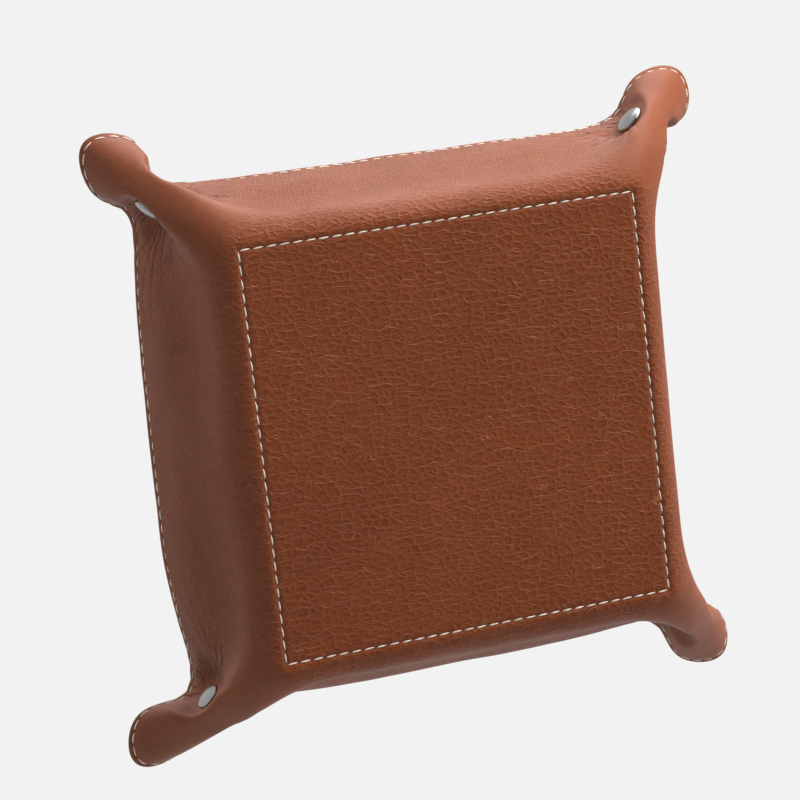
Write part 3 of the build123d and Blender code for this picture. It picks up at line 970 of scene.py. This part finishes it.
class TRAY_OT_stitching(bpy.types.Operator):
    """Sew the base and the rim, outside and inside"""
    bl_idname = "tray.stitching"
    bl_label = "Stitching"

    def execute(self, context):
        size = sheet_sizes()
        seam = seam_sizes()
        stack = size.leather_thickness + size.layer_gap + size.lining_thickness
        half = size.stitched_square / 2
        per_side = round(size.stitched_square / seam.base_pitch)
        pitch = size.stitched_square / per_side
        turn = 0.01 * mm
        square = []
        runs = []
        for number in range(4):
            outward, along = side_frame(number)
            square += [outward * half - along * (half - turn), outward * half + along * (half - turn)]
            runs += [along, along]
        square = np.array([square[0] + (pitch / 2 - turn, 0, 0)] + square[1:] + square[:1])
        runs = np.array(runs + runs[:1])
        under = square + up * (seam.groove_depth - 0.02 * mm)
        below = np.tile(-up, (len(square), 1))
        count = 4 * per_side
        for piece in lay_stitches("base_stitches", under, runs, below, count, pitch * 0.82, 0.08, 0.9):
            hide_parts("base_thread")
        inside = square + up * (stack + size.board_thickness - seam.groove_depth + 0.02 * mm)
        above = np.tile(up, (len(square), 1))
        lay_stitches("base_stitches_inside", inside, runs, above, count, pitch * 0.82, 0.08, 0.9)

        around = np.linspace(0, 8, 8 * 90 + 1)[:-1]
        top = sheet_points(around, np.array((1.0,)))[:, 0]
        near = sheet_points(around, np.array((0.99,)))[:, 0]
        down = (near - top) / np.linalg.norm(near - top, axis=1)[:, None]
        inward = sheet_normals(around, np.array((0.99,)))[:, 0]
        line = top + down * seam.rim_inset
        runs = np.roll(line, -1, axis=0) - np.roll(line, 1, axis=0)
        runs = runs / np.linalg.norm(runs, axis=1)[:, None]
        drawn = rim_groove(seam.rim_inset)
        outside = line + inward * (drawn - 0.02 * mm)
        count = round(path_length(outside) / seam.rim_pitch)
        for piece in lay_stitches("rim_stitches", outside, runs, -inward, count, seam.rim_pitch * 0.78, -0.08):
            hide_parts("rim_thread")
        inside = line + inward * (stack - drawn * 0.8 + 0.02 * mm)
        lay_stitches("rim_stitches_inside", inside, runs, inward, count, seam.rim_pitch * 0.78, 0.08)
        return {"FINISHED"}


def turned(kind, corner, hand, outline, material, body):
    """A metal piece turned about its stud's axis from (radius, distance from the middle plane)."""
    segments = 64
    diagonal, across = corner_frame(corner)
    outward = across * hand
    other = np.cross(outward, diagonal)
    centre = diagonal * stud_u() + up * sheet_sizes().stud_height
    points = []
    for radius, distance in outline:
        for step in range(segments):
            turn = 2 * math.pi * step / segments
            ring = diagonal * math.cos(turn) + other * math.sin(turn)
            points.append(centre + ring * radius + outward * distance)
    faces = []
    for low in range(0, (len(outline) - 1) * segments, segments):
        high = low + segments
        for step in range(segments):
            following = (step + 1) % segments
            faces.append((low + step, low + following, high + following, high + step))
    name = f"{kind}_{corners[corner]}"
    mesh = bpy.data.meshes.new(name)
    mesh.from_pydata([tuple(p) for p in points], [], faces)
    work = bmesh.new()
    work.from_mesh(mesh)
    bmesh.ops.remove_doubles(work, verts=work.verts, dist=1e-6)
    bmesh.ops.dissolve_degenerate(work, edges=work.edges, dist=1e-7)
    bmesh.ops.holes_fill(work, edges=work.edges)
    bmesh.ops.recalc_face_normals(work, faces=work.faces)
    work.to_mesh(mesh)
    work.free()
    mesh.polygons.foreach_set("use_smooth", np.ones(len(mesh.polygons), dtype=bool))
    mesh.set_sharp_from_angle(angle=math.radians(40))
    mesh.materials.append(material)
    piece = link_object(name, mesh)
    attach(piece, body)
    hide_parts("snap_" + name)


def steps_from(seat, *steps):
    """Outline points from pairs of millimetres: radius, and distance from the seat."""
    return [(radius * mm, seat + distance * mm) for radius, distance in steps]


def dome(radius, low, high, steps=14):
    """Outline of a low dome with a rolled edge, from its edge to its top."""
    turns = [math.radians(90 * step / steps) for step in range(steps + 1)]
    return [(radius * math.cos(turn), low + (high - low) * math.sin(turn)) for turn in turns]


class TRAY_OT_studs(bpy.types.Operator):
    """Turn the caps, sockets, studs and posts that hold the corners"""
    bl_idname = "tray.studs"
    bl_label = "Press studs"

    def execute(self, context):
        size = sheet_sizes()
        seat = 0.06 * mm
        outer_seat = size.pinch_half_width + seat
        stack = size.leather_thickness + size.layer_gap + size.lining_thickness
        inner_seat = size.pinch_half_width - stack - seat
        polished = polished_material()
        steel = steel_material()
        face = -0.4 * mm
        flange = inner_seat - 0.7 * mm
        cap = (
            steps_from(0, (0, 0.8), (1.6, 0.8), (1.6, 1.0), (1.3, 1.0))
            + steps_from(outer_seat, (1.3, 0), (4.7, 0), (4.93, 0.07), (5.0, 0.28), (4.95, 0.48))
            + dome(4.83 * mm, outer_seat + 0.6 * mm, outer_seat + 1.75 * mm)
        )
        socket = (
            steps_from(inner_seat, (1.4, 0), (4.9, 0), (5.0, -0.15))
            + steps_from(
                face, (5.0, 0.5), (4.7, 0.12), (4.3, 0), (3.6, 0.1), (3.2, 0.35), (2.7, 0.3), (2.3, 0),
                (2.05, 0.05), (1.95, 0.25),
            )
            + steps_from(0, (1.95, 1.1), (1.4, 1.1)) + steps_from(inner_seat, (1.4, 0))
        )
        stud = (
            steps_from(inner_seat, (1.05, 0), (4.7, 0), (4.8, -0.15))
            + steps_from(
                flange, (4.75, 0.1), (4.5, 0), (3.4, 0.15), (2.0, 0), (1.45, -0.15), (1.4, -0.5),
                (1.5, -0.85), (1.65, -1.2), (1.6, -1.5), (1.3, -1.72), (0.7, -1.8), (0, -1.8),
                (0, -0.72), (1.05, -0.72),
            )
            + steps_from(inner_seat, (1.05, 0))
        )
        post = (
            steps_from(flange, (0, -0.58), (0.95, -0.58))
            + steps_from(outer_seat, (0.95, 0), (4.15, 0), (4.35, 0.06), (4.4, 0.18))
            + dome(4.3 * mm, outer_seat + 0.3 * mm, outer_seat + 0.75 * mm)
        )
        for number, corner in enumerate(corners):
            flap = f"flap_{corner}"
            turned("cap", number, -1, cap, polished, root)
            turned("socket", number, -1, socket, steel, root)
            turned("stud", number, 1, stud, steel, flap)
            turned("post", number, 1, post, polished, flap)
        board = frame["nodes"]["base_board"]
        board.data.materials.clear()
        board.data.materials.append(board_material())
        return {"FINISHED"}


class Finish(Net):
    """Adds linked shader nodes to one new material."""

    def __init__(self, name):
        self.material = bpy.data.materials.new(name)
        self.material.use_nodes = True
        super().__init__(self.material.node_tree)
        self.shader = self.nodes["Principled BSDF"]

    def sheet(self, name="Sheet"):
        return self.add("ShaderNodeUVMap", {"uv_map": name}).outputs["UV"]

    def place(self):
        return self.add("ShaderNodeTexCoord").outputs["Object"]

    def attribute(self, name):
        return self.add("ShaderNodeAttribute", {"attribute_name": name}).outputs["Fac"]

    def mapped(self, place, *scale):
        return self.add("ShaderNodeMapping", Vector=place, Scale=scale).outputs[0]

    def noise(self, place, scale, detail, roughness, output="Fac", dimensions="3D"):
        node = self.add(
            "ShaderNodeTexNoise", {"noise_dimensions": dimensions}, Vector=place, Scale=scale,
            Detail=detail, Roughness=roughness,
        )
        return node.outputs[output] if output else node.outputs

    def cells(self, place, feature="DISTANCE_TO_EDGE", output="Distance"):
        node = self.add(
            "ShaderNodeTexVoronoi", {"feature": feature, "voronoi_dimensions": "2D"}, Vector=place, Scale=1.0,
        )
        return node.outputs[output]

    def channel(self, value, number):
        return self.add("ShaderNodeSeparateColor", Color=value).outputs[number]

    def mix(self, share, first, second):
        node = self.add("ShaderNodeMix", {"data_type": "RGBA"})
        for key, value in ((0, share), (6, first), (7, second)):
            self.give(node, key, value)
        return node.outputs[2]

    def close(self, body, rough, strength, distance, height, **values):
        """Gives the shader its colour, roughness and bump, and returns the material."""
        bump = self.add("ShaderNodeBump", Strength=strength, Distance=distance, Height=height)
        values.update(Base_Color=body, Roughness=rough, Normal=bump.outputs["Normal"])
        for key, value in values.items():
            self.give(self.shader, key.replace("_", " "), value)
        return self.material


def rgba(value, factor=1):
    return (*(factor * part for part in value), 1.0)


made = {}


def once(maker):
    """Keeps one copy of a material, so that all pieces share it."""
    def get():
        if maker.__name__ not in made:
            made[maker.__name__] = maker()
        return made[maker.__name__]
    return get


@once
def leather_material():
    """Pebbled leather: long wavy cells across the sheet, crease lines painted lighter as a painted highlight,
    the creases round the studs darkened as painted shade, and smooth and painted lighter as painted light where
    stretched.
    """
    paint = colours()
    light, dark = rgba(paint.leather_painted_highlight), rgba(paint.leather_dark)
    finish = Finish("Pebbled brown leather")
    times, ramp = finish.times, finish.ramp
    sheet = finish.sheet()
    place = finish.place()
    moved = sheet
    for scale, detail, roughness, reach in ((95.0, 3.0, 0.55, 0.0040), (420.0, 2.0, 0.5, 0.0011)):
        warp = finish.noise(sheet, scale, detail, roughness, "Color")
        centred = finish.vector("SUBTRACT", warp, (0.5, 0.5, 0.5))
        moved = finish.vector("ADD", moved, finish.vector("SCALE", centred, Scale=reach))
    stretched, wall, fan = (finish.attribute(name) for name in ("stretched", "wall", "fan"))

    large_cells = finish.mapped(moved, 1 / (3.3 * mm), 1 / (2.1 * mm), 1)
    large = finish.cells(large_cells)
    small = finish.cells(finish.mapped(moved, 1 / (1.25 * mm), 1 / (0.95 * mm), 1))
    tone = finish.channel(finish.cells(large_cells, "F1", "Color"), 0)
    long_noise = finish.noise(finish.mapped(moved, 1 / (9 * mm), 1 / (5 * mm), 1), 1.0, 2.0, 0.5, None, "2D")
    up_sheet = finish.add("ShaderNodeSeparateXYZ", Vector=sheet).outputs["Y"]
    phase = finish.maths("ADD", times(up_sheet, math.pi / (2.7 * mm)), times(long_noise["Fac"], 7.0))
    long_crease = ramp(finish.maths("ABSOLUTE", finish.maths("SINE", phase)), 0.0, 0.26, 1.0, 0.0)
    long_crease = times(long_crease, ramp(finish.channel(long_noise["Color"], 1), 0.36, 0.58, 0.25, 1.0))
    patches = finish.noise(sheet, 75.0, 3.0, 0.6)
    on_base = ramp(wall, 0.0, 1.0, 1.0, 0.30)
    where_large = times(ramp(patches, 0.30, 0.60, 0.35, 1.0), on_base)
    large_crease = finish.maths("MAXIMUM", ramp(large, 0.0, 0.085, 0.60, 0.0), times(long_crease, on_base))
    where_small = finish.maths("ADD", ramp(patches, 0.66, 0.36, 0.15, 0.40), ramp(wall, 0.2, 1.0, 0.0, 0.35))
    small_crease = times(ramp(small, 0.0, 0.20, 1.0, 0.0), where_small)
    crease = finish.maths("MAXIMUM", times(large_crease, where_large), small_crease)
    crease = times(crease, ramp(stretched, 0.0, 1.0, 1.0, 0.12))

    fan_place = finish.sheet("Fan")
    fan_noise = finish.noise(finish.mapped(fan_place, 3.0, 130.0, 1.0), 1.0, 3.0, 0.6, None, "2D")
    fan_turn = finish.add("ShaderNodeSeparateXYZ", Vector=fan_place).outputs["X"]
    phase = finish.maths("ADD", times(fan_turn, 22.0), times(fan_noise["Fac"], 9.0))
    ridged = finish.maths("ABSOLUTE", finish.maths("SINE", phase))
    deep = ramp(finish.channel(fan_noise["Color"], 1), 0.36, 0.56, 0.35, 1.0)
    wrinkle = times(times(ramp(ridged, 0.0, 0.55, 1.0, 0.0), fan), deep)

    broad = finish.noise(sheet, 16.0, 4.0, 0.6)
    fine = finish.noise(place, 2600.0, 2.0, 0.6)
    body = rgba(paint.leather)
    for share, tint in (
        (ramp(broad, 0.3, 0.7, 0.0, 0.35), dark), (ramp(tone, 0.0, 1.0, 0.22, 0.0), dark),
        # Painted highlight: crease lines are painted lighter where their edges catch the light. Painted light:
        # the stretched ears are painted lighter because they are more lit
        (times(crease, 0.62), light), (times(stretched, 0.12), light),
        # Painted shade: the creases round the studs are darkened towards a darker copy of the dark leather
        # colour. The fine noise after it is real grain tone
        (times(wrinkle, 0.95), rgba(paint.leather_dark, 0.7)), (ramp(fine, 0.35, 0.75, 0.0, 0.18), dark),
    ):
        body = finish.mix(share, body, tint)
    rough = finish.maths("ADD", ramp(broad, 0.25, 0.75, 0.46, 0.56), times(crease, 0.10))
    height = times(ramp(large, 0.0, 0.30), ramp(wall, 0.0, 1.0, 1.0, 0.25))
    height = finish.maths("SUBTRACT", height, times(long_crease, times(on_base, 1.6)))
    height = finish.maths("ADD", height, times(ramp(small, 0.0, 0.35), ramp(wall, 0.0, 1.0, 0.22, 2.2)))
    height = times(height, ramp(stretched, 0.0, 1.0, 1.0, 0.07))
    height = finish.maths("ADD", height, times(fine, 0.08))
    height = finish.maths("SUBTRACT", height, times(wrinkle, 5.0))
    return finish.close(body, rough, 0.55, 0.00020, height, Specular_IOR_Level=0.42)


@once
def lining_material():
    """Smooth fine-grained leather of a slightly duller brown."""
    paint = colours()
    finish = Finish("Fine grained lining")
    sheet = finish.sheet()
    grain = finish.cells(finish.mapped(sheet, 900, 900, 1))
    broad = finish.noise(sheet, 22.0, 5.0, 0.6)
    fine = finish.noise(sheet, 1500.0, 3.0, 0.6)
    darker = rgba(paint.lining, 0.72)
    body = finish.mix(finish.ramp(broad, 0.3, 0.7), darker, rgba(paint.lining, 1.25))
    body = finish.mix(finish.ramp(grain, 0.0, 0.12, 0.35, 0.0), body, darker)
    height = finish.maths("ADD", finish.ramp(grain, 0.0, 0.3), finish.times(fine, 0.5))
    rough = finish.ramp(broad, 0.3, 0.7, 0.58, 0.70)
    return finish.close(body, rough, 0.35, 0.00012, height, Specular_IOR_Level=0.35)


@once
def edge_material():
    """Thick dark edge paint, a little glossy and not quite even."""
    edge = colours().edge
    finish = Finish("Dark edge paint")
    broad = finish.noise(finish.place(), 300.0, 3.0, 0.5)
    body = finish.mix(finish.ramp(broad, 0.35, 0.7), rgba(edge), rgba(edge, 1.9))
    return finish.close(body, finish.ramp(broad, 0.3, 0.7, 0.34, 0.48), 0.3, 0.0001, broad)


@once
def thread_material():
    """Waxed off-white thread with its strands and a little dirt."""
    thread = colours().thread
    finish = Finish("Waxed thread")
    place = finish.place()
    strands = finish.noise(place, 3200.0, 2.0, 0.5)
    broad = finish.noise(place, 120.0, 3.0, 0.6)
    body = finish.mix(finish.ramp(broad, 0.35, 0.7), rgba(thread, 0.72), rgba(thread))
    body = finish.mix(finish.ramp(strands, 0.55, 0.35, 0.0, 0.35), body, rgba(thread, 0.45))
    return finish.close(body, finish.ramp(broad, 0.3, 0.7, 0.62, 0.78), 0.5, 0.0001, strands)


def metal_finish(name, factor, low, high, scratches):
    tint = rgba(colours().metal, factor)
    finish = Finish(name)
    place = finish.place()
    broad = finish.noise(place, 240.0, 4.0, 0.6)
    fine = finish.noise(place, 4200.0, 2.0, 0.5)
    body = finish.mix(finish.ramp(broad, 0.35, 0.7), rgba(tint[:3], 0.86), tint)
    rough = finish.ramp(broad, 0.3, 0.7, low, high)
    return finish.close(body, rough, scratches, 0.00004, fine, Metallic=1.0)


@once
def polished_material():
    return metal_finish("Polished nickel", 1, 0.20, 0.30, 0.10)


@once
def steel_material():
    return metal_finish("Satin nickel", 1.2, 0.30, 0.42, 0.25)


@once
def board_material():
    """Grey-brown pressed board."""
    board = colours().board
    finish = Finish("Pressed board")
    fibres = finish.noise(finish.place(), 900.0, 4.0, 0.7)
    body = finish.mix(finish.ramp(fibres, 0.35, 0.65), rgba(board, 0.7), rgba(board))
    return finish.close(body, finish.ramp(fibres, 0.3, 0.7, 0.78, 0.92), 0.4, 0.0002, fibres)


def floor_material():
    """Pale floor, seen only from above, where it keeps the tray's shadow."""
    finish = Finish("Pale floor")
    paint = colours().floor
    side = finish.add("ShaderNodeNewGeometry").outputs["Backfacing"]
    seen = finish.add("ShaderNodeLightPath").outputs["Is Camera Ray"]
    clear = finish.maths("MAXIMUM", side, finish.maths("SUBTRACT", 1.0, seen))
    place = finish.place()
    away = finish.vector("LENGTH", place, output="Value")
    clear = finish.maths("MAXIMUM", clear, finish.ramp(away, 0.24, 0.60))
    soft = finish.noise(place, 6.0, 3.0, 0.5)
    body = finish.mix(finish.ramp(soft, 0.3, 0.7), rgba(paint, 0.985), rgba(paint))
    finish.give(finish.shader, "Base Color", body)
    finish.give(finish.shader, "Roughness", 0.9)
    see_through = finish.add("ShaderNodeBsdfTransparent").outputs[0]
    choose = finish.give_all(finish.add("ShaderNodeMixShader"), clear, finish.shader.outputs[0], see_through)
    finish.give(finish.nodes["Material Output"], "Surface", choose[0])
    return finish.material


def area_lamp(name, place, target, width, power, tint=(1, 1, 1), mirrored=False):
    data = bpy.data.lights.new(name, "AREA")
    data.shape = "RECTANGLE"
    data.size = width
    data.size_y = width
    data.energy = power
    data.color = tint
    lamp = link_object(name, data)
    lamp.location = place
    lamp.rotation_euler = (Vector(target) - Vector(place)).to_track_quat("-Z", "Y").to_euler()
    lamp.visible_glossy = mirrored
    lamp.visible_diffuse = not mirrored
    lamp.visible_camera = False


class TRAY_OT_stage(bpy.types.Operator):
    """Set the floor, the lamps and the camera that looks at the tray from below"""
    bl_idname = "tray.stage"
    bl_label = "Stage"

    def execute(self, context):
        half = 1.2
        mesh = bpy.data.meshes.new("floor")
        floor_corners = [(-half, -half, 0), (half, -half, 0), (half, half, 0), (-half, half, 0)]
        mesh.from_pydata(floor_corners, [], [(0, 1, 2, 3)])
        mesh.materials.append(floor_material())
        floor = link_object("floor", mesh)
        floor.location.z = -0.0002

        middle = (0, 0, 0.02)
        area_lamp("key_below", (0.60, -0.80, -0.22), middle, 0.6, 21.0, (1.0, 0.99, 0.975))
        area_lamp("fill_below", (-0.45, -0.50, -0.85), middle, 0.8, 3.0)
        area_lamp("sheen_front", (0.33, -0.85, 0.45), middle, 1.0, 7.5, mirrored=True)
        area_lamp("sheen_below", (0.45, -0.85, -0.30), middle, 0.8, 5.0, mirrored=True)
        area_lamp("fill_back", (-0.45, 0.80, -0.35), middle, 0.8, 2.6)
        area_lamp("fill_right", (0.95, 0.25, -0.20), middle, 0.8, 7.0)
        area_lamp("key_above", (-0.5, -0.6, 0.9), middle, 0.6, 9.0, (1.0, 0.99, 0.97))
        area_lamp("fill_above", (0.7, 0.5, 0.8), middle, 0.9, 5.0)

        world = bpy.data.worlds.new("studio")
        world.use_nodes = True
        net = Net(world.node_tree)
        plain = net.nodes["Background"]
        plain.inputs["Color"].default_value = (1, 1, 1, 1)
        heading = net.add("ShaderNodeTexCoord").outputs["Generated"]
        height = net.add("ShaderNodeSeparateXYZ", Vector=heading).outputs["Z"]
        kind = net.add("ShaderNodeLightPath").outputs
        mirrored = net.maths("MULTIPLY_ADD", kind["Is Glossy Ray"], 1.3, 1.0)
        net.give(plain, "Strength", net.times(net.ramp(height, -0.80, -0.10, 0.07, 0.32), mirrored))
        seen = net.add("ShaderNodeBackground", Color=(0.888, 0.888, 0.888, 1), Strength=1.0).outputs[0]
        either = net.maths("MAXIMUM", kind["Is Camera Ray"], kind["Is Transmission Ray"])
        mix = net.give_all(net.add("ShaderNodeMixShader"), either, plain.outputs[0], seen)
        net.give(net.nodes["World Output"], "Surface", mix[0])
        bpy.context.scene.world = world

        data = bpy.data.cameras.new("camera")
        data.lens = 135
        data.sensor_width = 36
        data.clip_start = 0.01
        camera = link_object("camera", data)
        camera.location = (-0.304944, -0.183672, -0.866275)
        camera.rotation_euler = (math.radians(171.3665), math.radians(19.2901), math.radians(6.3782))
        bpy.context.scene.camera = camera
        bpy.context.scene.view_settings.view_transform = "Standard"
        return {"FINISHED"}


class TRAY_PT_panel(bpy.types.Panel):
    """Sizes, colours and steps of the valet tray"""
    bl_idname = "TRAY_PT_panel"
    bl_label = "Valet Tray"
    bl_space_type = "VIEW_3D"
    bl_region_type = "UI"
    bl_category = "Valet Tray"

    def draw(self, context):
        layout = self.layout
        for group in (context.scene.tray_sheet, context.scene.tray_seam, context.scene.tray_colours):
            column = layout.column(align=True)
            for name in group.__annotations__:
                column.prop(group, name)
        for operator in operators:
            layout.operator(operator.bl_idname)


groups = (TraySheetSizes, TraySeamSizes, TrayColours)
operators = (TRAY_OT_stage, TRAY_OT_leather, TRAY_OT_lining, TRAY_OT_stitching, TRAY_OT_studs)


def register():
    for item in groups + operators + (TRAY_PT_panel,):
        bpy.utils.register_class(item)
    bpy.types.Scene.tray_sheet = bpy.props.PointerProperty(type=TraySheetSizes)
    bpy.types.Scene.tray_seam = bpy.props.PointerProperty(type=TraySeamSizes)
    bpy.types.Scene.tray_colours = bpy.props.PointerProperty(type=TrayColours)


def unregister():
    del bpy.types.Scene.tray_colours
    del bpy.types.Scene.tray_seam
    del bpy.types.Scene.tray_sheet
    for item in reversed(groups + operators + (TRAY_PT_panel,)):
        bpy.utils.unregister_class(item)


def main():
    register()
    bpy.ops.tray.stage()
    bpy.ops.tray.leather()
    bpy.ops.tray.lining()
    bpy.ops.tray.stitching()
    bpy.ops.tray.studs()


if __name__ == "__main__":
    main()
